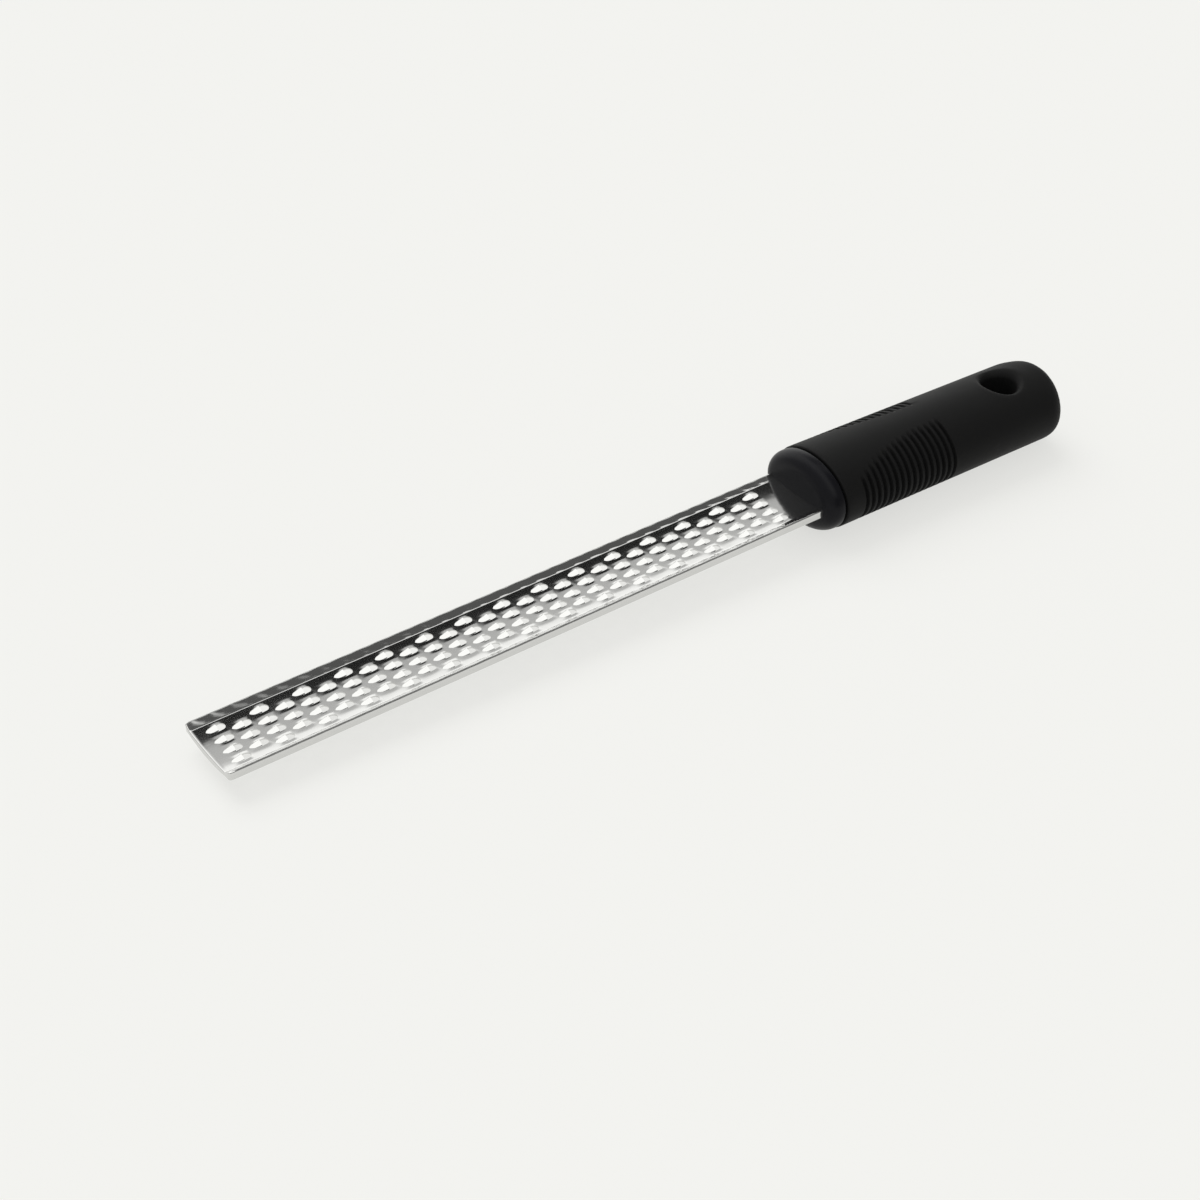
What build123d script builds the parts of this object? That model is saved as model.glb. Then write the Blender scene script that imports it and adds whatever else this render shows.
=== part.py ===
from build123d import *

import os
from math import acos, asin, atan2, cos, pi, radians, sin, sqrt, tan

# Rasp zester: a toothed steel blade held in a rigid core that is covered by a soft, ribbed grip.
# Lengths are millimetres and angles are degrees. While the pieces are made, X runs from the blade's
# free end to the rear of the handle, Y is zero in the middle and Z is zero on the top face of the
# blade's floor. At the end they all move, so that the origin is at the lowest level, below the middle.

# Blade: one sheet, pressed to a shallow channel that is open below
sheet = 0.4
blade_reach = 203.0
blade_width = 25.2
rim_width = 2.55
rim_angle = 38.0
flange_drop = 1.1
crest_round = 0.5
end_round = 1.0
end_bow = 0.8
end_bow_inset = 2.0

# Teeth: each is a pinched-up ramp whose lip faces the handle, with a round opening behind the lip
tooth_rows = 7
row_spacing = 2.4
tooth_pitch = 13.15
first_tooth = 6.7
plain_end = 8.0
ramp_length = 3.2
ramp_sink = 0.15
lip_height = 0.95
lip_width = 2.7
opening_radius = 1.4
lip_overlap = 0.15
lip_facets = 4
opening_facets = 6

# Tang: the flat strip of the same sheet that the core is moulded round
rim_entry = 4.0
tang_width = 14.0
tang_length = 58.0
tang_corner = 3.0
window_length = 12.0
window_width = 6.0
window_corner = 2.0
window_spacing = 20.0
window_from_end = 14.0
window_count = 2

# Handle: an oval bar whose axis drops a little towards the rear, with a rear end that closes in steps
handle_length = 105.2
half_width = 16.7
half_height = 12.15
oval_power = 0.64
axis_height = 0.6
axis_drop = 2.5
tail_length = 10.4
tail_crown = 5.0
tail_power = 2.3
tail_steps = 5
tail_reach_share = 0.985

# Nose: the visible front end of the rigid core, with a groove between it and the soft grip
nose_length = 5.8
nose_inset = 0.3
nose_round = 4.5
nose_steps = 3
groove_width = 0.8
groove_depth = 1.3

# Core body and the soft grip round it
grip_wall = 3.0
core_end_wall = 3.0
grip_front_bevel = 0.6

# Ribs: grooves round both sides of the grip, longest at the rear
rib_grooves = 16
rib_pitch = 2.46
rib_groove_width = 1.15
rib_groove_depth = 0.95
rib_start = 7.3
rib_first_tip_share = 0.74
rib_last_tip_share = 0.33
rib_tip_power = 2.2
rib_facets = 4

# Hang hole: straight in its middle and flared at both mouths
hang_radius = 5.8
hang_from_rear = 20.1
hang_flare = 2.4

# How far a cutting tool runs past what it cuts
overrun = 1.0

nose_front = blade_reach
rim_end = nose_front + rim_entry

# Places along the handle, from the nose's front
grip_front = nose_length + groove_width
hang_place = handle_length - hang_from_rear


def channel_outline(thin=0):
    """The region under the blade's top face or, with the sheet as thin, under its lower face."""
    bend = radians(rim_angle)
    half = blade_width / 2 - thin
    crease = blade_width / 2 - rim_width + thin * tan(bend / 2)
    crest = (half - crease) * tan(bend) - thin
    low = -flange_drop - (overrun if thin else 0)
    path = Polyline(
        (-half, low), (-half, crest), (-crease, -thin), (crease, -thin), (half, crest), (half, low),
        close=True,
    )
    outline = make_face(path)
    crests = outline.vertices().filter_by_position(Axis.Y, crest, crest)
    return Plane.YZ * fillet(crests, crest_round - thin)


def channel():
    """The pressed sheet from its free end to where its rims stop inside the nose."""
    outside = extrude(channel_outline(), rim_end)
    floor_end = outside.edges().filter_by(Axis.Y).filter_by_position(Axis.X, 0, 0).sort_by(Axis.Z)[-1]
    outside = fillet(floor_end, end_round)
    inside = Pos(sheet, 0, 0) * extrude(channel_outline(sheet), rim_end)
    return outside - inside + end_lip()


def end_lip():
    """The bowed lower edge of the turned-down free end, below the channel's flanges."""
    half = blade_width / 2 - end_bow_inset
    chord = Line((-half, -flange_drop), (half, -flange_drop))
    bow = ThreePointArc((half, -flange_drop), (0, -flange_drop - end_bow), (-half, -flange_drop))
    return extrude(Plane.YZ * make_face([chord, bow]), sheet)


def ramp(thin=0):
    """A tooth's facetted ramp up to its lip or, with the sheet as thin, the hollow under it."""
    lip_radius = (lip_height**2 + (lip_width / 2) ** 2) / (2 * lip_height)
    centre = lip_height - lip_radius
    slope = lip_radius / ramp_length
    back = thin * sqrt(1 + slope**2) / slope
    radius = slope * (ramp_length - back)
    low = asin((-sheet / 2 - centre) / lip_radius)
    turns = [low + (pi - 2 * low) * step / lip_facets for step in range(lip_facets + 1)]
    arch = [(radius * cos(turn), centre + radius * sin(turn)) for turn in turns]
    if thin:
        arch += [(-radius, centre - radius), (radius, centre - radius)]
    lip = Plane.YZ * make_face(Polyline(arch, close=True))
    return loft([Vertex(back - ramp_length, 0, -ramp_sink), lip])


def tooth():
    """What one tooth adds to the blade, and what it takes away."""
    hollow = ramp(sheet)
    side = RegularPolygon(opening_radius, opening_facets, rotation=180 / opening_facets)
    hole = Pos(opening_radius - lip_overlap, 0, 0) * side
    return ramp() - hollow, hollow + extrude(hole, sheet + overrun, both=True)


def tooth_places():
    """Where the lips are: the rows are staggered by half a pitch."""
    places = []
    for row in range(tooth_rows):
        y = (row - (tooth_rows - 1) / 2) * row_spacing
        x = first_tooth + (row % 2) * tooth_pitch / 2
        while x <= nose_front - plain_end:
            places.append(Pos(x, y, 0))
            x += tooth_pitch
    return places


def tang_holes():
    """The windows in the tang, which the core's plastic runs through."""
    window = RectangleRounded(window_length, window_width, window_corner)
    last = nose_front + tang_length - window_from_end
    places = [Pos(last - step * window_spacing, 0, 0) for step in range(window_count)]
    return [extrude(place * window, sheet + overrun, both=True) for place in places]


def tang():
    """The flat strip that runs back from the channel's floor inside the core."""
    strip = Pos(nose_front + tang_length / 2, 0, 0) * Rectangle(tang_length, tang_width)
    corners = strip.vertices().sort_by(Axis.X)[-2:]
    return extrude(fillet(corners, tang_corner), -sheet) - tang_holes()


def across_handle(place):
    """The plane across the handle at a place along it."""
    tilt = atan2(axis_drop, handle_length)
    origin = (nose_front + place * cos(tilt), 0, axis_height - place * sin(tilt))
    return Plane(origin=origin, x_dir=(0, 1, 0), z_dir=(cos(tilt), 0, -sin(tilt)))


def oval(wide, tall):
    """A smooth oval of four arcs, from its half width and half height."""
    side = tall * (tall / wide) ** oval_power
    side_middle = wide - side
    crown = (side_middle**2 + tall**2 - side**2) / (2 * (tall - side))
    turn = atan2(side_middle, crown - tall)
    y, z = side_middle + side * sin(turn), side * cos(turn)
    upper = ThreePointArc((-y, z), (0, tall), (y, z))
    right = ThreePointArc((y, z), (wide, 0), (y, -z))
    lower = ThreePointArc((y, -z), (0, -tall), (-y, -z))
    left = ThreePointArc((-y, -z), (-wide, 0), (-y, z))
    return make_face([upper, right, lower, left])


def section(place, inset=0, width_share=1, height_share=1):
    """The handle's section at a place along it, drawn in by inset and narrowed by the two shares."""
    outline = oval((half_width - inset) * width_share, (half_height - inset) * height_share)
    return across_handle(place) * outline


def span(start, end, inset=0):
    """A stretch of the handle, drawn in by inset."""
    return extrude(section(start, inset), end - start)


def closing_share(distance, length):
    """What is left of a half size at a distance into an end that closes over the given length."""
    into = max(distance, 0) / length
    return (1 - into**tail_power) ** (1 / tail_power)


def tail():
    """The rounded rear end: it closes over a longer stretch in width than in height."""
    start = handle_length - tail_length
    sections = []
    for step in range(tail_steps + 1):
        place = start + tail_length * tail_reach_share * sin(pi / 2 * step / tail_steps)
        width_share = closing_share(place - start, tail_length)
        height_share = closing_share(place - handle_length + tail_crown, tail_crown)
        sections.append(section(place, 0, width_share, height_share))
    return loft(sections, ruled=True)


def hang_hole():
    """The hole for a hook, straight through the tail and flared at both mouths."""
    mouth = hang_radius + hang_flare
    start = half_height - hang_flare
    past = start + hang_flare + overrun
    from_base = (Align.CENTER, Align.CENTER, Align.MIN)
    flare = Cone(hang_radius, mouth + overrun, past - start, align=from_base)
    hole = Cylinder(hang_radius, 2 * past)
    for turn in (0, 180):
        hole += Rot(turn, 0, 0) * Pos(0, 0, start) * flare
    return Pos(*across_handle(hang_place).origin) * hole


def rib_groove_cuts():
    """One cutter for each groove, whose facetted bottom comes out at the skin at the tips."""
    cuts = []
    for step in range(rib_grooves):
        left = 1 - step / (rib_grooves - 1)
        tip_share = rib_last_tip_share + (rib_first_tip_share - rib_last_tip_share) * left**rib_tip_power
        tip_height = half_height * sqrt(1 - tip_share**2)
        bottom_wide = half_width - rib_groove_depth
        tip_turn = acos(half_width * tip_share / bottom_wide)
        bottom_tall = tip_height / sin(tip_turn)
        turns = [tip_turn * (2 * facet / rib_facets - 1) for facet in range(rib_facets + 1)]
        side = [(bottom_wide * cos(turn), bottom_tall * sin(turn)) for turn in turns]
        bottom = make_face(Polyline(side + [(-y, z) for y, z in reversed(side)], close=True))
        around = Rectangle(2 * (half_width + overrun), 2 * tip_height)
        place = across_handle(grip_front + rib_start + step * rib_pitch)
        cuts.append(extrude(place * (around - bottom), rib_groove_width))
    return cuts


def nose():
    """The core's front end, whose edge is rounded in steps."""
    sections = []
    for step in range(nose_steps + 1):
        turn = pi / 2 * step / nose_steps
        sections.append(section(nose_round * (1 - cos(turn)), nose_inset + nose_round * (1 - sin(turn))))
    return loft(sections, ruled=True) + span(nose_round, nose_length, nose_inset)


def core_blank():
    """The rigid core before the blade takes its room: the nose, a neck and a body inside the grip."""
    neck = span(nose_length, grip_front, groove_depth)
    body = span(grip_front, hang_place - hang_radius - core_end_wall, grip_wall)
    return nose() + neck + body


def grip():
    """The soft grip, moulded over the core."""
    full = grip_front + grip_front_bevel
    bevelled = loft([section(grip_front, grip_front_bevel), section(full)], ruled=True)
    skin = bevelled + span(full, handle_length - tail_length) + tail()
    return skin - hang_hole() - core_blank() - rib_groove_cuts()


def plain_blade():
    return channel() + tang()


def blade():
    added, removed = tooth()
    places = tooth_places()
    return plain_blade() - [place * removed for place in places] + [place * added for place in places]


def placed(pieces):
    """All pieces moved alike, so that the origin is under the middle of the tool at its lowest level."""
    boxes = [piece.bounding_box() for piece in pieces.values()]
    front = min(box.min.X for box in boxes)
    rear = max(box.max.X for box in boxes)
    lowest = min(box.min.Z for box in boxes)
    move = Pos(-(front + rear) / 2, 0, -lowest)
    return {name: move * piece for name, piece in pieces.items()}


pieces = {
    "blade": blade(),
    "handle_core": core_blank() - plain_blade(),
    "grip_sleeve": grip(),
}
os.makedirs("parts", exist_ok=True)
for name, piece in placed(pieces).items():
    export_step(piece, f"parts/{name}.step")
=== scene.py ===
from math import atan2, cos, hypot, pi, radians, sin, sqrt, tan

import bmesh
import bpy
from mathutils import Matrix, Vector


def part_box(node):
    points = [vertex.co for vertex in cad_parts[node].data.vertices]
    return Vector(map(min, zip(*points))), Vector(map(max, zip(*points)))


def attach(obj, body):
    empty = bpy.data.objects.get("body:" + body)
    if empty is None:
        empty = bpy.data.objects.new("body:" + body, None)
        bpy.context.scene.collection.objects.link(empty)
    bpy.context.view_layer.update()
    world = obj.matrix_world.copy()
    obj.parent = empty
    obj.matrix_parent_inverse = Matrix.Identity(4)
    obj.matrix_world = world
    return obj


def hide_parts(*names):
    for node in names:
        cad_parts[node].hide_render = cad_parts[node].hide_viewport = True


# Rasp zester: the looks of the toothed blade, the rigid core and the soft grip, in metres, in the
# frame's own axes. X runs from the blade's free end to the rear of the handle.

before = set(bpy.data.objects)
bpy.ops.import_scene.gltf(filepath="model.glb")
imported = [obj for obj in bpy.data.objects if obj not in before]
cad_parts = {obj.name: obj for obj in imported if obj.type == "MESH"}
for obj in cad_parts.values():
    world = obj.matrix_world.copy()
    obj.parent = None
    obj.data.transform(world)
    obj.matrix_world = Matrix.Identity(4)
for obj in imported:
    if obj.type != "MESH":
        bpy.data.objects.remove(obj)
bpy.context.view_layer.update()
MM = 0.001

# Where the pieces are
BLADE_LOW, BLADE_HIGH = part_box("blade")
TIP = BLADE_LOW.x

# Meshes: points nearer than these are merged, and edges turned further are kept sharp
MERGE = 0.002 * MM
TOOTH_MERGE = 0.01 * MM
SHARP_EDGE = radians(38)

# Blade: a pressed sheet with a turned-down free end. Its floor is dished across, and sinks and
# lifts a little along its length.
SHEET = 0.4 * MM
HALF_BLADE = BLADE_HIGH.y
FLANGE_DROP = 1.1 * MM
END_BOW = 0.8 * MM
BOW_INSET = 2.0 * MM
FLOOR_TOP = BLADE_LOW.z + FLANGE_DROP + END_BOW
CREASE = 10.05 * MM
CREASE_SOFT = 0.3 * MM
RIM_ANGLE = radians(38)
CREST_ROUND = 0.5 * MM
END_ROUND = 0.3 * MM
CORNER_ROUND = 1.0 * MM
RIM_ENTRY = 4.0 * MM
DISH = 0.5 * MM
DISH_POWER = 2.0
DISH_LEVEL = 0.35
SINK_AT_END = 0.3 * MM
SINK_AT_HANDLE = -0.25 * MM
LIFT_AT_END = 0.35 * MM
WALL_ROWS = 3
LEAD_STEPS = 3
CREASE_STEPS = 3
CREST_STEPS = 6
END_STEPS = 5

# Teeth: ramps that rise to a lip, with a round opening behind it. Each is made in a patch of sheet,
# one cell, and a skirt of raised floor runs round it.
TOOTH_PITCH = 13.15 * MM
ROW_SPACING = 2.4 * MM
TOOTH_ROWS = 7
TOOTH_COLUMNS = 15
FIRST_TOOTH = 6.7 * MM
CELL_FRONT = 3.5 * MM
RAMP_LENGTH = 3.2 * MM
LIP_HEIGHT = 0.95 * MM
LIP_HALF = 1.45 * MM
OPENING_RADIUS = 1.35 * MM
OPENING_CENTRE = 1.25 * MM
RAMP_RISE = 1.15
RAMP_WIDENING = 0.45
ARCH_POWER = 0.75
SKIRT = 0.065 * MM
SKIRT_MIDDLE = 0.3
HALF_SIDE_STEPS = 3

# Tang, inside the core
TANG_HALF = 7.0 * MM
WINDOW_HALF = 3.0 * MM
WINDOW_LENGTH = 12.0 * MM
WINDOW_SPACING = 20.0 * MM
WINDOW_FROM_END = 14.0 * MM

# Handle: elliptical sections that narrow a little along an axis that drops towards the rear. Its
# pieces are made with the axis along X, from the middle of the nose's front, then laid in place.
BLADE_REACH = 203.0 * MM
HANDLE_LENGTH = 105.2 * MM
FRONT_HALF_WIDTH = 17.0 * MM
REAR_HALF_WIDTH = 16.2 * MM
HALF_HEIGHT = 12.15 * MM
AXIS_HEIGHT = 0.6 * MM
AXIS_DROP = 2.5 * MM
NOSE_LENGTH = 5.8 * MM
NOSE_INSET = 0.3 * MM
NOSE_ROUND = 4.5 * MM
NOSE_EDGE = 0.4 * MM
GROOVE_WIDTH = 0.8 * MM
GROOVE_DEPTH = 1.3 * MM
GRIP_FRONT = NOSE_LENGTH + GROOVE_WIDTH
GRIP_WALL = 3.0 * MM
CORE_END = 76.3 * MM
GRIP_EDGE = 0.6 * MM
TAIL_LENGTH = 10.4 * MM
TAIL_CROWN = 5.0 * MM
TAIL_POWER = 2.3
RING_POINTS = 128
NOSE_STEPS = 10
EDGE_STEPS = 4
LEAD_SHARES = (0.3, 0.6)
REAR_RINGS = 6
FINE_OUTLINE = 40
SKIN_SHARE = 0.9
LEAST_WIDTH = 0.001 * MM

# Hang hole
HANG_X = HANDLE_LENGTH - 20.1 * MM
HANG_RADIUS = 5.8 * MM
HANG_MOUTH = 8.1 * MM
HANG_FLARE_DEPTH = 2.5 * MM
HANG_FLARE_POWER = 1.5
TAIL_CUT = HANG_X - 15.0 * MM
FLARE_STEPS = 8
SPOKE_STEPS = 14
CUT_SHARE = 0.4

# Grooves between the ribs. A tip is where a groove ends on the top, as a share of the handle's
# half width.
RIB_GROOVES = 16
RIB_PITCH = 2.46 * MM
RIB_GROOVE_WIDTH = 1.15 * MM
RIB_GROOVE_DEPTH = 1.1 * MM
RIB_EDGE = 0.2 * MM
RIB_START = 7.3 * MM
RIB_FIRST_TIP = 0.74
RIB_LAST_TIP = 0.33
RIB_TIP_POWER = 2.2
RIB_TIP_EASE_SHARE = 0.16

# Finishes
STEEL = (0.70, 0.70, 0.69)
STEEL_ROUGHNESS = 0.10
STEEL_SPREAD = 0.06
WAVE_DEPTH = 0.02 * MM
LINE_DEPTH = 0.0004 * MM
LINES_IN_ROUGHNESS = 0.6
FLECK_LENGTH = TOOTH_PITCH / 2
FLECK_WIDTH = 4.0 * MM
FLECK_DEPTH = 0.04 * MM
FLECK_WANDER = 3.0
FLECK_FADE = 0.04
CORE_BLACK = (0.006, 0.006, 0.008)
GRIP_BLACK = (0.0095, 0.0095, 0.0095)
FINE_IN_ROUGHNESS = 0.5

# View, solved from the photo
VIEW_TURN = radians(35.96)
VIEW_DROP = radians(37.63)
VIEW_AIM = Vector((-31.36 * MM, -7.72 * MM, 14.23 * MM))
VIEW_DISTANCE = 614.4 * MM
VIEW_LENS = 63.92
SENSOR = 36.0

# Floor: FLOOR_GLOW is the share of its paleness that it gives off by itself, to the camera and to
# mirrored rays, and FLOOR_MIRRORED changes that paleness for mirrored rays alone.
PALE = (0.896, 0.896, 0.871)
FLOOR_SIZE = 6.0
FLOOR_GLOW = 0.74
FLOOR_MIRRORED = -0.03

# World and sun
WORLD_TINT = (1.0, 1.0, 0.985)
WORLD_LIGHT = 0.62
SUN_WAY = Vector((0.06, 0.64, 0.77))
SUN_SPREAD = radians(50)
SUN_STRENGTH = 1.55

# What mirrored rays meet, set for the steel: from, to and brightness, in degrees round the tool's
# length. 0 lies behind the tool, 90 above it and 180 on the camera's side.
STEEL_BANDS = (
    (-40.0, 35.4, 1.30),
    (35.4, 46.7, 0.60),
    (46.7, 66.0, 0.02),
    (66.0, 82.0, 1.0),
    (82.0, 116.0, 0.11),
    (116.0, 200.0, 0.25),
)
BAND_SOFTNESS = 1.4

# What they meet instead where their way's X is low, and, in the last three values, where they
# lead off past the blade's free end
ENDWAYS_FROM = 0.24
ENDWAYS_TO = 0.16
ENDWAYS_BOTTOM = -30.0
ENDWAYS_TOP = 145.0
ENDWAYS_SOFTNESS = 6.0
ENDWAYS_LEVEL = 1.35
ENDWAYS_DARK = 0.05
END_FACE_FROM = -0.30
END_FACE_TO = -0.40
END_FACE_LEVEL = 0.6


# Nodes

def node(tree, kind, inputs=(), **settings):
    """A new node, with its settings, and with its inputs linked or set."""
    made = tree.nodes.new(kind)
    for name, value in settings.items():
        setattr(made, name, value)
    for key, value in dict(inputs).items():
        if isinstance(value, Value):
            value = value.socket
        if isinstance(value, bpy.types.NodeSocket):
            tree.links.new(value, made.inputs[key])
        else:
            made.inputs[key].default_value = value
    return made


class Value:
    """A number that varies over a shape, for which plain arithmetic builds math nodes."""

    def __init__(self, tree, socket):
        self.tree = tree
        self.socket = socket

    def math(self, operation, *others):
        inputs = {0: self}
        for place, other in enumerate(others):
            inputs[place + 1] = other
        made = node(self.tree, "ShaderNodeMath", inputs, operation=operation)
        return Value(self.tree, made.outputs[0])

    def __add__(self, other):
        return self.math("ADD", other)

    def __sub__(self, other):
        return self.math("SUBTRACT", other)

    def __mul__(self, other):
        return self.math("MULTIPLY", other)

    def __truediv__(self, other):
        return self.math("DIVIDE", other)

    def __pow__(self, other):
        return self.math("POWER", other)

    def flipped(self):
        """One less the value."""
        return self * -1.0 + 1.0

    def clamped(self):
        return self.math("MINIMUM", 1.0).math("MAXIMUM", 0.0)

    def eased(self):
        """A value between 0 and 1 with a soft start and end."""
        return self * self * (self * -2.0 + 3.0)

    def smooth(self, start, end):
        """A smooth step from 0 at start to 1 at end, which may be the smaller one."""
        return ((self - start) * (1.0 / (end - start))).clamped().eased()


def group_tree(name, kind, inputs, outputs):
    """A node group with its sockets made: each input is (name, kind) or (name, kind, default)."""
    tree = bpy.data.node_groups.new(name, kind)
    for socket_name, socket_kind, *default in inputs:
        socket = tree.interface.new_socket(socket_name, in_out="INPUT", socket_type=socket_kind)
        if default:
            socket.default_value = default[0]
    for socket_name, socket_kind in outputs:
        tree.interface.new_socket(socket_name, in_out="OUTPUT", socket_type=socket_kind)
    given = tree.nodes.new("NodeGroupInput").outputs
    put = tree.nodes.new("NodeGroupOutput").inputs
    return tree, given, put


def object_place(tree):
    return node(tree, "ShaderNodeTexCoord").outputs["Object"]


def noise(tree, place, scale, detail):
    made = node(tree, "ShaderNodeTexNoise", {"Vector": place, "Scale": scale, "Detail": detail})
    return Value(tree, made.outputs["Fac"])


def stretched(tree, place, along):
    """A place whose X is scaled, which draws a pattern out lengthways."""
    return node(tree, "ShaderNodeMapping", {"Vector": place, "Scale": (along, 1.0, 1.0)}).outputs[0]


def uneven_roughness(tree, given, broad, fine, fine_share):
    """The group's roughness, varied by a broad pattern and a share of a fine one."""
    spread = broad - 0.5 + (fine - 0.5) * fine_share
    return spread * Value(tree, given["Roughness spread"]) + Value(tree, given["Roughness"])


def point_parts(tree):
    """X, Y and Z of the points that a geometry tree moves."""
    place = node(tree, "GeometryNodeInputPosition").outputs[0]
    parts = node(tree, "ShaderNodeSeparateXYZ", {"Vector": place}).outputs
    return (Value(tree, parts[axis]) for axis in "XYZ")


def with_material(tree, geometry, material):
    inputs = {"Geometry": geometry, "Material": material}
    return node(tree, "GeometryNodeSetMaterial", inputs).outputs[0]


# Finishes

def grain_group():
    """Fine uneven grain, as on moulded plastic and rubber: a height and an uneven roughness."""
    tree, given, put = group_tree(
        "moulded_grain",
        "ShaderNodeTree",
        [
            ("Grain size", "NodeSocketFloat", 0.0003),
            ("Roughness", "NodeSocketFloat", 0.5),
            ("Roughness spread", "NodeSocketFloat", 0.1),
        ],
        [("Height", "NodeSocketFloat"), ("Roughness", "NodeSocketFloat")],
    )
    place = object_place(tree)
    fine = noise(tree, place, scale=Value(tree, given["Grain size"]) ** -1.0, detail=3.0)
    broad = noise(tree, place, scale=90.0, detail=4.0)
    rough = uneven_roughness(tree, given, broad, fine, FINE_IN_ROUGHNESS)
    tree.links.new(fine.socket, put["Height"])
    tree.links.new(rough.socket, put["Roughness"])


def rolled_steel_group():
    """The faint long waves and fine lengthways lines of rolled and polished sheet, and slanting
    flecks on its rims, from where they start."""
    tree, given, put = group_tree(
        "rolled_steel",
        "ShaderNodeTree",
        [
            ("Roughness", "NodeSocketFloat", 0.2),
            ("Roughness spread", "NodeSocketFloat", 0.08),
            ("Fleck length", "NodeSocketFloat", 1.0),
            ("Fleck width", "NodeSocketFloat", 1.0),
            ("Rim start", "NodeSocketFloat", 1.0),
        ],
        [
            ("Waves", "NodeSocketFloat"),
            ("Lines", "NodeSocketFloat"),
            ("Rim flecks", "NodeSocketFloat"),
            ("Roughness", "NodeSocketFloat"),
        ],
    )
    place = object_place(tree)
    lines = noise(tree, stretched(tree, place, 0.06), scale=5000.0, detail=2.0)
    waves = noise(tree, stretched(tree, place, 0.45), scale=300.0, detail=1.0)
    smears = noise(tree, place, scale=60.0, detail=5.0)
    parts = node(tree, "ShaderNodeSeparateXYZ", {"Vector": place}).outputs
    along, across = Value(tree, parts["X"]), Value(tree, parts["Y"])
    lengths = along / Value(tree, given["Fleck length"])
    widths = across / Value(tree, given["Fleck width"])
    turn = (lengths + widths) * (2 * pi) + waves * FLECK_WANDER
    out = across.math("ABSOLUTE") / Value(tree, given["Rim start"])
    flecks = turn.math("SINE") * (out - 1.0).smooth(0.0, FLECK_FADE)
    rough = uneven_roughness(tree, given, smears, lines, LINES_IN_ROUGHNESS)
    for made, output in (
        (waves, "Waves"),
        (lines, "Lines"),
        (flecks, "Rim flecks"),
        (rough, "Roughness"),
    ):
        tree.links.new(made.socket, put[output])


def new_material(name, color, **sockets):
    """A material, its nodes and its Principled BSDF, with the constant sockets set."""
    material = bpy.data.materials.new(name)
    material.use_nodes = True
    shader = material.node_tree.nodes["Principled BSDF"]
    shader.inputs["Base Color"].default_value = (*color, 1.0)
    for socket, value in sockets.items():
        shader.inputs[socket.replace("_", " ")].default_value = value
    return material, material.node_tree, shader


def placed_group(tree, name, values):
    """A node group in a material, with this material's values on its inputs."""
    return node(tree, "ShaderNodeGroup", node_tree=bpy.data.node_groups[name], inputs=values)


def bump(tree, height, distance, normal=None):
    inputs = {"Height": height, "Distance": distance, "Strength": 1.0}
    if normal is not None:
        inputs["Normal"] = normal
    return node(tree, "ShaderNodeBump", inputs).outputs["Normal"]


def moulded_material(name, color, grain_size, grain_depth, roughness, spread, specular):
    material, tree, shader = new_material(name, color, Specular_IOR_Level=specular)
    values = {"Grain size": grain_size, "Roughness": roughness, "Roughness spread": spread}
    grain = placed_group(tree, "moulded_grain", values)
    tree.links.new(grain.outputs["Roughness"], shader.inputs["Roughness"])
    tree.links.new(bump(tree, grain.outputs["Height"], grain_depth), shader.inputs["Normal"])
    return material


def steel_material():
    material, tree, shader = new_material("polished_stainless_sheet", STEEL, Metallic=1.0)
    values = {
        "Roughness": STEEL_ROUGHNESS,
        "Roughness spread": STEEL_SPREAD,
        "Fleck length": FLECK_LENGTH,
        "Fleck width": FLECK_WIDTH,
        "Rim start": CREASE,
    }
    rolled = placed_group(tree, "rolled_steel", values)
    waves = bump(tree, rolled.outputs["Waves"], WAVE_DEPTH)
    flecks = bump(tree, rolled.outputs["Rim flecks"], FLECK_DEPTH, waves)
    lines = bump(tree, rolled.outputs["Lines"], LINE_DEPTH, flecks)
    tree.links.new(rolled.outputs["Roughness"], shader.inputs["Roughness"])
    tree.links.new(lines, shader.inputs["Normal"])
    return material


# Mesh helpers

def new_object(name, mesh, material=None):
    piece = bpy.data.objects.new(name, mesh)
    bpy.context.scene.collection.objects.link(piece)
    if material:
        mesh.materials.append(material)
    return piece


def reshape(mesh, *changes):
    """Changes a mesh by functions that each take its editable form."""
    shape = bmesh.new()
    shape.from_mesh(mesh)
    for change in changes:
        change(shape)
    shape.to_mesh(mesh)
    shape.free()


def merge(shape):
    bmesh.ops.remove_doubles(shape, verts=shape.verts, dist=MERGE)


def turn_outwards(shape):
    bmesh.ops.recalc_face_normals(shape, faces=shape.faces)


def shade(shape):
    """Shades a shape smooth and keeps its real edges sharp."""
    for face in shape.faces:
        face.smooth = True
    for edge in shape.edges:
        edge.smooth = edge.calc_face_angle(0.0) < SHARP_EDGE


def finished(piece, *changes):
    """Makes a piece with its modifiers a plain mesh, merges, changes and shades it."""
    depsgraph = bpy.context.evaluated_depsgraph_get()
    mesh = bpy.data.meshes.new_from_object(piece.evaluated_get(depsgraph))
    piece.modifiers.clear()
    piece.data = mesh
    reshape(mesh, merge, *changes, shade)
    return piece


class Surface:
    """Points and quads that are gathered into one mesh."""

    def __init__(self):
        self.points = []
        self.faces = []

    def row(self, points):
        """Adds points and returns their numbers."""
        start = len(self.points)
        self.points.extend(points)
        return list(range(start, len(self.points)))

    def strip(self, first, second, closed=False):
        """Quads between two rows. They face where the direction of first, crossed with the way from
        first to second, points."""
        count = len(first)
        for place in range(count if closed else count - 1):
            after = (place + 1) % count
            self.faces.append((first[place], first[after], second[after], second[place]))

    def mesh(self, name):
        """The mesh, with its coinciding points merged."""
        made = bpy.data.meshes.new(name)
        made.from_pydata(self.points, [], self.faces)
        reshape(made, merge)
        return made


# Blade

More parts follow.
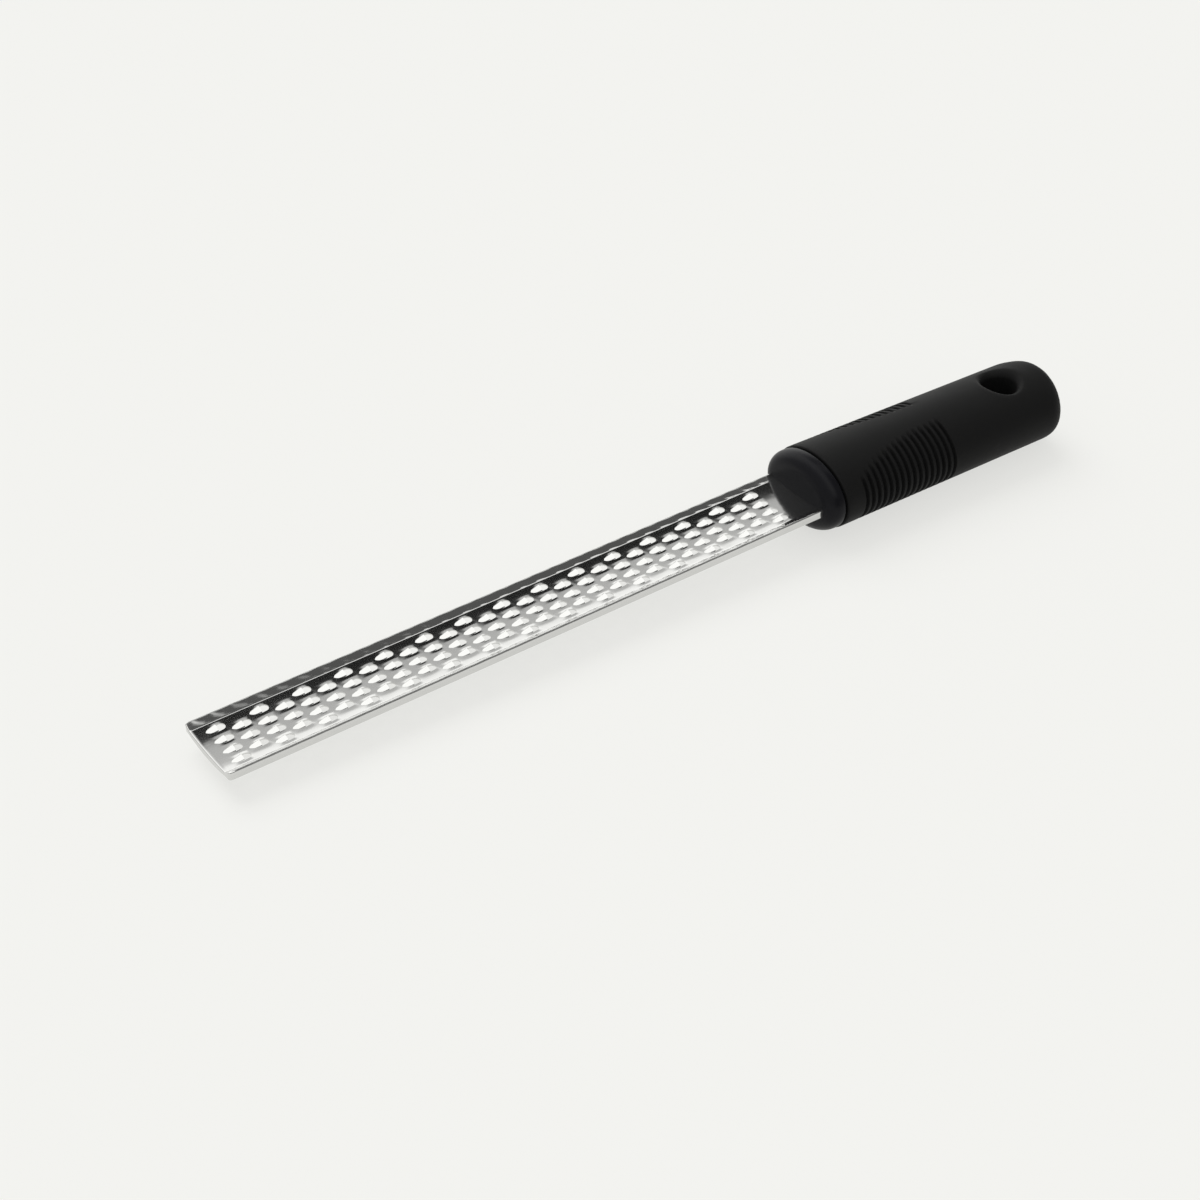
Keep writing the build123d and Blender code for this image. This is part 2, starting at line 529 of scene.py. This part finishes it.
CREST_REACH = CREST_ROUND / tan((pi / 2 - RIM_ANGLE) / 2)
CREST_MIDDLE = HALF_BLADE - CREST_ROUND
CREST_CORNER = (HALF_BLADE - CREASE) * tan(RIM_ANGLE)
CREST_START = HALF_BLADE - CREST_REACH * cos(RIM_ANGLE)


def sheet_height(y):
    """Height of the blade's top face above its floor, across the blade."""
    out = abs(y)
    if out < CREASE - CREASE_SOFT:
        return 0.0
    if out < CREASE + CREASE_SOFT:
        return tan(RIM_ANGLE) * (out - CREASE + CREASE_SOFT) ** 2 / (4 * CREASE_SOFT)
    if out < CREST_START:
        return tan(RIM_ANGLE) * (out - CREASE)
    across = min(out - CREST_MIDDLE, CREST_ROUND)
    return CREST_CORNER - CREST_REACH + sqrt(CREST_ROUND**2 - across**2)


def end_drop(x):
    """How far the top face has rolled down at a distance x from the free end."""
    into = max(END_ROUND - x, 0.0)
    return END_ROUND - sqrt(END_ROUND**2 - into**2)


def rounded_corner(x, y):
    """Moves a point near the free end's corners so that the corner is round, seen from above."""
    side = CORNER_ROUND - (HALF_BLADE - abs(y))
    ahead = CORNER_ROUND - x
    if side <= 0 or ahead <= 0:
        return x, y
    u, v = ahead / CORNER_ROUND, side / CORNER_ROUND
    x = CORNER_ROUND * (1 - u * sqrt(1 - v * v / 2))
    out = HALF_BLADE - CORNER_ROUND * (1 - v * sqrt(1 - u * u / 2))
    return x, out if y > 0 else -out


def sheet_point(x, y, z):
    x, y = rounded_corner(x, y)
    return (TIP + x, y, FLOOR_TOP + z)


def bow(y):
    """How far the free end's lower edge hangs below the flanges."""
    half = HALF_BLADE - BOW_INSET
    return END_BOW * max(1 - (y / half) ** 2, 0.0)


FLOOR_STEP = ROW_SPACING / HALF_SIDE_STEPS
CELL_LENGTH = TOOTH_PITCH / 2
CELL_STEPS = 2 * HALF_SIDE_STEPS
CELLS = 2 * TOOTH_COLUMNS - 1
CELLS_START = FIRST_TOOTH - CELL_FRONT
RIMS_END = BLADE_REACH + RIM_ENTRY


def across_places():
    """Where the sheet has rows of points, from one flange to the other."""
    half_floor = HALF_SIDE_STEPS * (TOOTH_ROWS + 1) // 2
    inner = [FLOOR_STEP * step for step in range(half_floor + 1)]
    crease = []
    for step in range(CREASE_STEPS + 1):
        crease.append(CREASE + CREASE_SOFT * (2 * step / CREASE_STEPS - 1))
    crest = []
    for step in range(CREST_STEPS + 1):
        turn = -RIM_ANGLE + (pi / 2 + RIM_ANGLE) * step / CREST_STEPS
        crest.append(CREST_MIDDLE + CREST_ROUND * sin(turn))
    outer = crease + [(CREASE + CREST_START) / 2] + crest
    return [-y for y in reversed(outer)] + [-y for y in reversed(inner[1:])] + inner + outer


def along_places():
    """Where the sheet has columns of points, from the free end to where the rims stop."""
    end = [END_ROUND * (1 - cos(pi / 2 * step / END_STEPS)) for step in range(END_STEPS + 1)]
    gap = CELLS_START - END_ROUND
    lead = [END_ROUND + gap * step / LEAD_STEPS for step in range(1, LEAD_STEPS)]
    cells = []
    for step in range(CELLS * CELL_STEPS + 1):
        cells.append(CELLS_START + CELL_LENGTH * step / CELL_STEPS)
    return end + lead + cells + [(cells[-1] + BLADE_REACH) / 2, BLADE_REACH, RIMS_END]


def in_tooth_cell(x, y):
    """Whether the middle of a quad lies in a cell that holds a tooth."""
    cell = int((x - CELLS_START) // CELL_LENGTH)
    if not 0 <= cell < CELLS:
        return False
    rows = TOOTH_ROWS // 2 + 1 - cell % 2
    return abs(y) < rows * ROW_SPACING


def plain_sheet():
    """The blade's sheet, with its outer walls and tang, without the cells that hold teeth."""
    surface = Surface()
    xs, ys = along_places(), across_places()
    grid = []
    for x in xs:
        grid.append(surface.row([sheet_point(x, y, sheet_height(y) - end_drop(x)) for y in ys]))
    for i in range(len(xs) - 1):
        here, next_on = grid[i], grid[i + 1]
        for j in range(len(ys) - 1):
            if not in_tooth_cell((xs[i] + xs[i + 1]) / 2, (ys[j] + ys[j + 1]) / 2):
                surface.faces.append((here[j], next_on[j], next_on[j + 1], here[j + 1]))
    border = [(x, ys[0], -FLANGE_DROP) for x in reversed(xs)]
    border += [(0.0, y, -FLANGE_DROP - bow(y)) for y in ys[1:-1]]
    border += [(x, ys[-1], -FLANGE_DROP) for x in xs]
    rows = []
    for step in range(WALL_ROWS + 1):
        share = step / WALL_ROWS
        row = []
        for x, y, low in border:
            top = sheet_height(y) - end_drop(x)
            row.append(sheet_point(x, y, top + (low - top) * share))
        rows.append(surface.row(row))
    for upper, lower in zip(rows, rows[1:]):
        surface.strip(upper, lower)
    add_tang(surface, ys)
    return surface.mesh("blade_sheet")


def add_tang(surface, ys):
    """The flat strip inside the core, with its two windows."""
    start, end = RIMS_END, BLADE_HIGH.x - TIP
    last = end - WINDOW_FROM_END
    xs = [start, end]
    for middle in (last - WINDOW_SPACING, last):
        xs += [middle - WINDOW_LENGTH / 2, middle + WINDOW_LENGTH / 2]
    xs.sort()
    inside = [y for y in ys if abs(y) < TANG_HALF]
    columns = [surface.row([(TIP + x, y, FLOOR_TOP) for y in inside]) for x in xs]
    for i in range(len(xs) - 1):
        holds_window = i % 2 == 1
        for j in range(len(inside) - 1):
            if holds_window and abs(inside[j] + inside[j + 1]) / 2 < WINDOW_HALF:
                continue
            first, second = columns[i], columns[i + 1]
            surface.faces.append((first[j], second[j], second[j + 1], first[j + 1]))


def ramp_row(into, steps):
    """Points over the ramp from side to side, at a share of the way up to the lip."""
    half = LIP_HALF * into**RAMP_WIDENING
    rise = LIP_HEIGHT * into**RAMP_RISE
    row = []
    for step in range(steps + 1):
        across = -cos(pi * step / steps)
        arch = (1 - across * across) ** ARCH_POWER if abs(across) < 1 else 0.0
        row.append((RAMP_LENGTH * (into - 1), half * across, SKIRT * into + rise * arch))
    return row


def cell_border():
    """Points round the tooth's patch of sheet, from the middle of its front."""
    low_x, high_x = -CELL_FRONT, CELL_LENGTH - CELL_FRONT
    forwards = [CELL_LENGTH * step / CELL_STEPS for step in range(CELL_STEPS)]
    half_side = range(HALF_SIDE_STEPS)
    whole_side = range(-HALF_SIDE_STEPS, HALF_SIDE_STEPS)
    border = [(low_x, -FLOOR_STEP * step, 0.0) for step in half_side]
    border += [(low_x + gone, -ROW_SPACING, 0.0) for gone in forwards]
    border += [(high_x, FLOOR_STEP * step, 0.0) for step in whole_side]
    border += [(high_x - gone, ROW_SPACING, 0.0) for gone in forwards]
    border += [(low_x, ROW_SPACING - FLOOR_STEP * step, 0.0) for step in half_side]
    return border


def tooth_cell():
    """One tooth in its patch of sheet: the ramp, the opening behind its lip and the floor."""
    surface = Surface()
    steps = 2 * HALF_SIDE_STEPS
    ramp = [surface.row(ramp_row(step / steps, 2 * steps)) for step in range(steps + 1)]
    for first, second in zip(ramp, ramp[1:]):
        surface.strip(second, first)
    inner = [surface.points[row[0]] for row in ramp]
    for step in range(2 * steps - 1):
        turn = -pi / 2 + pi * step / (2 * steps - 2)
        x, y = OPENING_CENTRE + OPENING_RADIUS * cos(turn), OPENING_RADIUS * sin(turn)
        inner.append((x, y, SKIRT * (1 - cos(turn))))
    inner += [surface.points[row[-1]] for row in reversed(ramp[1:])]
    outer = cell_border()
    middle = []
    for near, far in zip(inner, outer):
        x, y = (near[0] + far[0]) / 2, (near[1] + far[1]) / 2
        middle.append((x, y, near[2] * SKIRT_MIDDLE))
    rings = [surface.row(ring) for ring in (inner, middle, outer)]
    for near, far in zip(rings, rings[1:]):
        surface.strip(far, near, closed=True)
    return surface.mesh("tooth_cell")


def grid_of_teeth(tree, tooth, columns, rows, pitch, spacing, first):
    """Instances of the tooth on a grid of points."""
    size = {
        "Size X": pitch * (columns - 1.0),
        "Size Y": spacing * (2.0 * (rows - 1.0)),
        "Vertices X": columns,
        "Vertices Y": rows,
    }
    grid = node(tree, "GeometryNodeMeshGrid", size).outputs["Mesh"]
    middle = first + pitch * ((columns - 1.0) / 2)
    shift = node(tree, "ShaderNodeCombineXYZ", {"X": middle, "Z": FLOOR_TOP}).outputs[0]
    moved = node(tree, "GeometryNodeTransform", {"Geometry": grid, "Translation": shift})
    teeth = {"Points": moved.outputs["Geometry"], "Instance": tooth}
    return node(tree, "GeometryNodeInstanceOnPoints", teeth).outputs["Instances"]


def tooth_field_tree(material):
    """Sets the staggered rows of teeth into the sheet and gives its floor a faint dish."""
    tree, given, put = group_tree(
        "tooth_field",
        "GeometryNodeTree",
        [
            ("Sheet", "NodeSocketGeometry"),
            ("Tooth", "NodeSocketObject"),
            ("First lip", "NodeSocketFloat"),
            ("Pitch", "NodeSocketFloat"),
            ("Row spacing", "NodeSocketFloat"),
            ("Dish", "NodeSocketFloat"),
            ("Sink at the end", "NodeSocketFloat"),
            ("Sink at the handle", "NodeSocketFloat"),
            ("Lift at the end", "NodeSocketFloat"),
            ("Floor half width", "NodeSocketFloat"),
            ("Crest start", "NodeSocketFloat"),
        ],
        [("Blade", "NodeSocketGeometry")],
    )
    size = {socket.name: Value(tree, socket) for socket in given if socket.name}
    tooth = node(tree, "GeometryNodeObjectInfo", {"Object": given["Tooth"]}).outputs["Geometry"]
    first, pitch, spacing = size["First lip"], size["Pitch"], size["Row spacing"]
    rows = TOOTH_ROWS // 2 + 1
    whole = grid_of_teeth(tree, tooth, TOOTH_COLUMNS, rows, pitch, spacing, first)
    second = first + pitch * 0.5
    between = grid_of_teeth(tree, tooth, TOOTH_COLUMNS - 1, rows - 1, pitch, spacing, second)
    join = node(tree, "GeometryNodeJoinGeometry")
    for part in (given["Sheet"], whole, between):
        tree.links.new(part, join.inputs["Geometry"])
    real = node(tree, "GeometryNodeRealizeInstances", {"Geometry": join.outputs["Geometry"]})
    near = {"Geometry": real.outputs[0], "Distance": TOOTH_MERGE}
    merged = node(tree, "GeometryNodeMergeByDistance", near).outputs[0]
    x, y, _ = point_parts(tree)
    out, half = y.math("ABSOLUTE"), size["Floor half width"]
    share = (out / half).math("MINIMUM", 1.0)
    fade = ((out - half) / (size["Crest start"] - half)).clamped().flipped()
    back = ((x - TIP) / BLADE_REACH).clamped()
    end_sink = size["Sink at the end"]
    sink = (size["Sink at the handle"] - end_sink) * back + end_sink
    lift = back.flipped() ** 2.0 * size["Lift at the end"]
    rise = ((share**DISH_POWER - DISH_LEVEL) * size["Dish"] - sink) * fade + lift
    offset = node(tree, "ShaderNodeCombineXYZ", {"Z": rise}).outputs[0]
    dished = node(tree, "GeometryNodeSetPosition", {"Geometry": merged, "Offset": offset})
    tree.links.new(with_material(tree, dished.outputs[0], material), put["Blade"])
    return tree


def nodes_modifier(piece, tree, values):
    """Adds the tree to a piece, with its inputs set by their sockets' identifiers."""
    modifier = piece.modifiers.new(tree.name, "NODES")
    modifier.node_group = tree
    for item in tree.interface.items_tree:
        if item.in_out == "INPUT" and item.name in values:
            modifier[item.identifier] = values[item.name]


def make_blade(steel):
    tooth = new_object("tooth_pattern", tooth_cell())
    blade = new_object("blade_steel", plain_sheet(), steel)
    sizes = {
        "Tooth": tooth,
        "First lip": TIP + FIRST_TOOTH,
        "Pitch": TOOTH_PITCH,
        "Row spacing": ROW_SPACING,
        "Dish": DISH,
        "Sink at the end": SINK_AT_END,
        "Sink at the handle": SINK_AT_HANDLE,
        "Lift at the end": LIFT_AT_END,
        "Floor half width": CREASE,
        "Crest start": CREST_START,
    }
    nodes_modifier(blade, tooth_field_tree(steel), sizes)
    wall = blade.modifiers.new("sheet_thickness", "SOLIDIFY")
    wall.thickness = SHEET
    wall.offset = -1.0
    wall.use_even_offset = True
    finished(blade)
    bpy.data.objects.remove(tooth)
    return blade


# Handle

HANDLE_DROOP = atan2(AXIS_DROP, HANDLE_LENGTH)
HANDLE_START = Vector((TIP + BLADE_REACH, 0.0, FLOOR_TOP + AXIS_HEIGHT))
HANDLE_PLACE = Matrix.Translation(HANDLE_START) @ Matrix.Rotation(HANDLE_DROOP, 4, "Y")
NARROWING = (REAR_HALF_WIDTH - FRONT_HALF_WIDTH) / HANDLE_LENGTH


def laid_in_place(piece):
    """Moves a piece of the handle, made along X, to its place behind the blade."""
    piece.data.transform(HANDLE_PLACE)
    return piece


def half_width_at(x):
    return FRONT_HALF_WIDTH + NARROWING * x


def ring(x, inset=0.0):
    """The handle's elliptical section at x, drawn in by inset."""
    wide, tall = half_width_at(x) - inset, HALF_HEIGHT - inset
    points = []
    for step in range(RING_POINTS):
        turn = 2 * pi * step / RING_POINTS
        points.append((x, wide * cos(turn), tall * sin(turn)))
    return points


def round_edge(start, radius, inset, steps, rising):
    """Pairs of x and inset for a rounded edge, where the sections grow or where they shrink."""
    pairs = []
    for step in range(steps + 1):
        turn = pi / 2 * step / steps
        if rising:
            pairs.append((start + radius * (1 - cos(turn)), inset + radius * (1 - sin(turn))))
        else:
            pairs.append((start + radius * sin(turn), inset + radius * (1 - cos(turn))))
    return pairs


def make_core(plastic):
    """The nose, the neck under the groove and the body inside the grip."""
    nose_rear = NOSE_LENGTH - NOSE_EDGE
    pairs = round_edge(0.0, NOSE_ROUND, NOSE_INSET, NOSE_STEPS, rising=True)
    pairs += round_edge(nose_rear, NOSE_EDGE, NOSE_INSET, EDGE_STEPS, rising=False)
    pairs += [(NOSE_LENGTH, GROOVE_DEPTH), (GRIP_FRONT, GROOVE_DEPTH), (GRIP_FRONT, GRIP_WALL)]
    pairs += [(CORE_END, GRIP_WALL)]
    surface = Surface()
    rows = [surface.row(ring(x, inset)) for x, inset in pairs]
    for first, second in zip(rows, rows[1:]):
        surface.strip(first, second, closed=True)
    surface.faces += [tuple(reversed(rows[0])), tuple(rows[-1])]
    core = new_object("core_plastic", surface.mesh("core_plastic"), plastic)
    return laid_in_place(finished(core, turn_outwards))


def closing(distance, length):
    """What is left of a half size at a distance into an end that closes over a length."""
    into = min(max(distance, 0.0) / length, 1.0)
    return (1 - into**TAIL_POWER) ** (1 / TAIL_POWER)


def tail_width(x):
    return half_width_at(x) * closing(x - (HANDLE_LENGTH - TAIL_LENGTH), TAIL_LENGTH)


def tail_top(x, y):
    """Height of the tail's skin above its axis."""
    wide = max(tail_width(x), LEAST_WIDTH)
    tall = HALF_HEIGHT * closing(x - (HANDLE_LENGTH - TAIL_CROWN), TAIL_CROWN)
    return tall * sqrt(max(1 - (y / wide) ** 2, 0.0))


def tail_outline():
    """Points round the tail, seen from above: over the cut and then, evenly, round the rear."""
    half = RING_POINTS // 2
    cut_width = half_width_at(TAIL_CUT)
    cut = [(TAIL_CUT, cut_width * cos(2 * pi * step / RING_POINTS)) for step in range(half + 1)]
    fine = FINE_OUTLINE * half
    start = HANDLE_LENGTH - TAIL_LENGTH
    path = [(TAIL_CUT, cut_width)]
    for step in range(fine + 1):
        turn = pi / 2 * step / fine
        x = start + TAIL_LENGTH * sin(turn) ** (2 / TAIL_POWER)
        path.append((x, half_width_at(x) * cos(turn) ** (2 / TAIL_POWER)))
    lengths = [0.0]
    for before, after in zip(path, path[1:]):
        lengths.append(lengths[-1] + hypot(after[0] - before[0], after[1] - before[1]))
    spaced = []
    place = 0
    for step in range(half // 2 + 1):
        wanted = lengths[-1] * step / (half // 2)
        while place < len(lengths) - 2 and lengths[place + 1] < wanted:
            place += 1
        span = lengths[place + 1] - lengths[place]
        share = (wanted - lengths[place]) / span
        ends = zip(path[place], path[place + 1])
        spaced.append(tuple(before + (after - before) * share for before, after in ends))
    rear = [(x, -y) for x, y in spaced[1:]] + [(x, y) for x, y in reversed(spaced[1:-1])]
    return cut + rear


def tail_half(surface, side):
    """The tail's upper or lower skin, from its outline in to the flared hang hole. It returns the
    row round the hole."""
    half = RING_POINTS // 2
    rows = [[] for _ in range(SPOKE_STEPS + FLARE_STEPS + 1)]
    for place, (outer_x, outer_y) in enumerate(tail_outline()):
        if place <= half:
            turn = pi + (0.5 - place / half) * 2 * pi * CUT_SHARE
        else:
            turn = pi - pi * CUT_SHARE - (place - half) / half * 2 * pi * (1 - CUT_SHARE)
        way = (cos(turn), -sin(turn))
        mouth = (HANG_X + HANG_MOUTH * way[0], HANG_MOUTH * way[1])
        for step in range(SPOKE_STEPS + 1):
            share = cos(pi / 2 * step / SPOKE_STEPS) if step < SPOKE_STEPS else 0.0
            x = mouth[0] + (outer_x - mouth[0]) * share
            y = mouth[1] + (outer_y - mouth[1]) * share
            rise = tail_top(x, y) if step else outline_rise(place)
            rows[step].append((x, y, side * rise))
        for step in range(1, FLARE_STEPS + 1):
            into = step / FLARE_STEPS
            inward = 1 - (1 - into) ** 2
            radius = HANG_MOUTH - (HANG_MOUTH - HANG_RADIUS) * inward
            fall = 1 - (1 - inward**HANG_FLARE_POWER) ** (1 / HANG_FLARE_POWER)
            x, y = HANG_X + radius * way[0], radius * way[1]
            rise = tail_top(x, y) - HANG_FLARE_DEPTH * fall
            rows[SPOKE_STEPS + step].append((x, y, side * rise))
    numbers = [surface.row(row) for row in rows]
    for first, second in zip(numbers, numbers[1:]):
        surface.strip(first, second, closed=True)
    return numbers[-1]


def outline_rise(place):
    """Height above the axis on the tail's outline: the section's at the cut, none at the rear."""
    if place > RING_POINTS // 2:
        return 0.0
    return HALF_HEIGHT * sin(2 * pi * place / RING_POINTS)


def rib_rings():
    """Where the skin has rings, so that each groove's edges are followed closely."""
    half = RIB_GROOVE_WIDTH / 2
    first = GRIP_FRONT + RIB_START + half
    offsets = [half + RIB_EDGE, half + RIB_EDGE / 3, half - RIB_EDGE / 3, half - RIB_EDGE]
    places = []
    for groove in range(RIB_GROOVES):
        middle = first + groove * RIB_PITCH
        places += [middle - offset for offset in offsets] + [middle]
        places += [middle + offset for offset in reversed(offsets)]
    return places


def make_grip(rubber):
    """The soft skin with its ribs, the closed tail with its hang hole, and the core's room."""
    surface = Surface()
    pairs = [(GRIP_FRONT, GRIP_WALL)]
    pairs += round_edge(GRIP_FRONT, GRIP_EDGE, 0.0, EDGE_STEPS, rising=True)
    lead = [GRIP_FRONT + RIB_START * share for share in LEAD_SHARES]
    ribs = rib_rings()
    gap = TAIL_CUT - ribs[-1]
    rear = [ribs[-1] + gap * step / REAR_RINGS for step in range(1, REAR_RINGS + 1)]
    pairs += [(x, 0.0) for x in lead + ribs + rear]
    rows = [surface.row(ring(x, inset)) for x, inset in pairs]
    for first, second in zip(rows, rows[1:]):
        surface.strip(first, second, closed=True)
    cavity_end = surface.row(ring(CORE_END, GRIP_WALL))
    surface.strip(rows[0], cavity_end, closed=True)
    surface.faces.append(tuple(cavity_end))
    upper, lower = tail_half(surface, 1), tail_half(surface, -1)
    surface.strip(upper, lower, closed=True)
    grip = new_object("grip_rubber", surface.mesh("grip_rubber"), rubber)
    reshape(grip.data, turn_outwards)
    sizes = {
        "First groove": GRIP_FRONT + RIB_START,
        "Grooves": RIB_GROOVES,
        "Pitch": RIB_PITCH,
        "Groove width": RIB_GROOVE_WIDTH,
        "Groove depth": RIB_GROOVE_DEPTH,
        "Edge": RIB_EDGE,
        "First tip": RIB_FIRST_TIP,
        "Last tip": RIB_LAST_TIP,
        "Tip power": RIB_TIP_POWER,
        "Tip ease": RIB_TIP_EASE_SHARE,
    }
    nodes_modifier(grip, rib_tree(rubber), sizes)
    return laid_in_place(finished(grip, turn_outwards))


def rib_tree(material):
    """Presses the grooves between the ribs into both sides of the grip's skin."""
    tree, given, put = group_tree(
        "grip_ribs",
        "GeometryNodeTree",
        [
            ("Skin", "NodeSocketGeometry"),
            ("First groove", "NodeSocketFloat"),
            ("Grooves", "NodeSocketFloat"),
            ("Pitch", "NodeSocketFloat"),
            ("Groove width", "NodeSocketFloat"),
            ("Groove depth", "NodeSocketFloat"),
            ("Edge", "NodeSocketFloat"),
            ("First tip", "NodeSocketFloat"),
            ("Last tip", "NodeSocketFloat"),
            ("Tip power", "NodeSocketFloat"),
            ("Tip ease", "NodeSocketFloat"),
        ],
        [("Skin", "NodeSocketGeometry")],
    )
    size = {socket.name: Value(tree, socket) for socket in given if socket.name}
    x, y, z = point_parts(tree)
    half_groove = size["Groove width"] * 0.5
    phase = (x - size["First groove"] - half_groove) / size["Pitch"] + 0.5
    number = phase.math("FLOOR")
    from_middle = (phase - number - 0.5).math("ABSOLUTE") * size["Pitch"]
    into_edge = ((half_groove + size["Edge"] - from_middle) / (size["Edge"] * 2.0)).clamped()
    past_first = number.math("GREATER_THAN", -0.5)
    before_last = (size["Grooves"] - 0.5).math("GREATER_THAN", number)
    in_range = past_first * before_last
    left = (number / (size["Grooves"] - 1.0)).clamped().flipped()
    tip = size["Last tip"] + (size["First tip"] - size["Last tip"]) * left ** size["Tip power"]
    half_width = x * NARROWING + FRONT_HALF_WIDTH
    share = y.math("ABSOLUTE") / half_width
    into = ((share - tip) / size["Tip ease"]).clamped()
    ease = (into.flipped() ** 2.0).flipped()
    depth = into_edge.eased() * ease * in_range * size["Groove depth"] * -1.0
    push = {
        0: node(tree, "GeometryNodeInputNormal").outputs[0],
        "Scale": depth * outer_skin(y, z, half_width),
    }
    offset = node(tree, "ShaderNodeVectorMath", push, operation="SCALE").outputs[0]
    pressed = node(tree, "GeometryNodeSetPosition", {"Geometry": given["Skin"], "Offset": offset})
    tree.links.new(with_material(tree, pressed.outputs[0], material), put["Skin"])
    return tree


def outer_skin(y, z, half_width):
    """1 on the grip's outer skin and 0 on the wall of its cavity."""
    across = (y / half_width) ** 2.0 + (z * (1.0 / HALF_HEIGHT)) ** 2.0
    return across.math("GREATER_THAN", SKIN_SHARE)


# Stage, lights and camera

def make_camera():
    data = bpy.data.cameras.new("photo_view")
    data.lens = VIEW_LENS
    data.sensor_width = SENSOR
    camera = bpy.data.objects.new("photo_view", data)
    bpy.context.scene.collection.objects.link(camera)
    level = cos(VIEW_DROP)
    ahead = Vector((sin(VIEW_TURN) * level, cos(VIEW_TURN) * level, -sin(VIEW_DROP)))
    camera.location = VIEW_AIM - ahead * VIEW_DISTANCE
    camera.rotation_euler = (pi / 2 - VIEW_DROP, 0.0, -VIEW_TURN)
    bpy.context.scene.camera = camera


def make_floor():
    """A large pale floor along the underside of the handle. Part of its paleness is given off, to
    the camera and to mirrored rays only, which keeps the tool's shadow light."""
    half = FLOOR_SIZE / 2
    rest_x, _, rest_z = HANDLE_PLACE @ Vector((HANDLE_LENGTH / 2, 0.0, -HALF_HEIGHT))
    slope = tan(HANDLE_DROOP)
    corners = []
    for x, y in ((-half, -half), (half, -half), (half, half), (-half, half)):
        corners.append((x, y, rest_z - slope * (x - rest_x)))
    mesh = bpy.data.meshes.new("studio_floor")
    mesh.from_pydata(corners, [], [(0, 1, 2, 3)])
    matt = {"Roughness": 1.0, "Specular_IOR_Level": 0.0}
    material, tree, shader = new_material("studio_floor", PALE, **matt)
    path = node(tree, "ShaderNodeLightPath")
    seen = Value(tree, path.outputs["Is Camera Ray"])
    mirrored = Value(tree, path.outputs["Is Glossy Ray"])
    shaded = seen * -FLOOR_GLOW + mirrored * (FLOOR_MIRRORED - FLOOR_GLOW) + 1.0
    pale = {0: PALE, "Scale": shaded}
    color = node(tree, "ShaderNodeVectorMath", pale, operation="SCALE").outputs[0]
    tree.links.new(color, shader.inputs["Base Color"])
    shader.inputs["Emission Color"].default_value = (*PALE, 1.0)
    glow = (seen + mirrored) * FLOOR_GLOW
    tree.links.new(glow.socket, shader.inputs["Emission Strength"])
    new_object("studio_floor", mesh, material)


def band(angle, start, end, soft):
    """1 where the angle lies between start and end, given in degrees, with soft edges."""
    start, end, soft = radians(start), radians(end), radians(soft)
    past_end = angle.smooth(end - soft, end + soft)
    return angle.smooth(start - soft, start + soft) * past_end.flipped()


def make_world():
    """Even soft light. What mirrored rays see is made up: a bright back wall, a grey one above it,
    a dark ceiling with one bright strip, and a dim side where the camera stands. Towards the
    blade's free end, where the ramps of the teeth face, it is bright."""
    world = bpy.data.worlds.new("studio")
    bpy.context.scene.world = world
    world.use_nodes = True
    tree = world.node_tree
    background = tree.nodes["Background"]
    way = node(tree, "ShaderNodeTexCoord").outputs["Generated"]
    parts = node(tree, "ShaderNodeSeparateXYZ", {"Vector": way}).outputs
    along, across, height = (Value(tree, parts[axis]) for axis in "XYZ")
    angle = height.math("ARCTAN2", across)
    mirrored = None
    for start, end, level in STEEL_BANDS:
        part = band(angle, start, end, BAND_SOFTNESS) * level
        mirrored = part if mirrored is None else mirrored + part
    ahead = along.smooth(ENDWAYS_FROM, ENDWAYS_TO)
    endways = band(angle, ENDWAYS_BOTTOM, ENDWAYS_TOP, ENDWAYS_SOFTNESS)
    endways = endways * ENDWAYS_LEVEL + ENDWAYS_DARK
    beyond = along.smooth(END_FACE_FROM, END_FACE_TO)
    endways = endways * beyond.flipped() + beyond * END_FACE_LEVEL
    mirrored = mirrored * ahead.flipped() + endways * ahead
    path = node(tree, "ShaderNodeLightPath")
    glossy = Value(tree, path.outputs["Is Glossy Ray"])
    seen = Value(tree, path.outputs["Is Camera Ray"])
    strength = mirrored * glossy + (glossy + seen).flipped() * WORLD_LIGHT + seen
    background.inputs["Color"].default_value = (*WORLD_TINT, 1.0)
    tree.links.new(strength.socket, background.inputs["Strength"])


def make_sun():
    """A very wide sun: it lights the floor evenly and its shadows are soft."""
    data = bpy.data.lights.new("soft_sun", "SUN")
    data.angle = SUN_SPREAD
    data.energy = SUN_STRENGTH
    lamp = bpy.data.objects.new("soft_sun", data)
    bpy.context.scene.collection.objects.link(lamp)
    lamp.rotation_euler = SUN_WAY.to_track_quat("Z", "Y").to_euler()
    lamp.visible_glossy = False


# The scene

grain_group()
rolled_steel_group()
steel = steel_material()
core_plastic = moulded_material(
    "core_plastic",
    CORE_BLACK,
    grain_size=0.5 * MM,
    grain_depth=0.004 * MM,
    roughness=0.33,
    spread=0.08,
    specular=0.13,
)
grip_rubber = moulded_material(
    "grip_rubber",
    GRIP_BLACK,
    grain_size=0.25 * MM,
    grain_depth=0.02 * MM,
    roughness=0.55,
    spread=0.1,
    specular=0.08,
)

blade = make_blade(steel)
core = make_core(core_plastic)
grip = make_grip(grip_rubber)
for piece, replaced, slot in (
    (blade, "blade", "stainless_steel"),
    (core, "handle_core", "core_plastic"),
    (grip, "grip_sleeve", "grip_rubber"),
):
    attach(piece, "root")
    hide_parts(replaced)

make_camera()
make_floor()
make_world()
make_sun()
bpy.context.scene.view_settings.view_transform = "Standard"
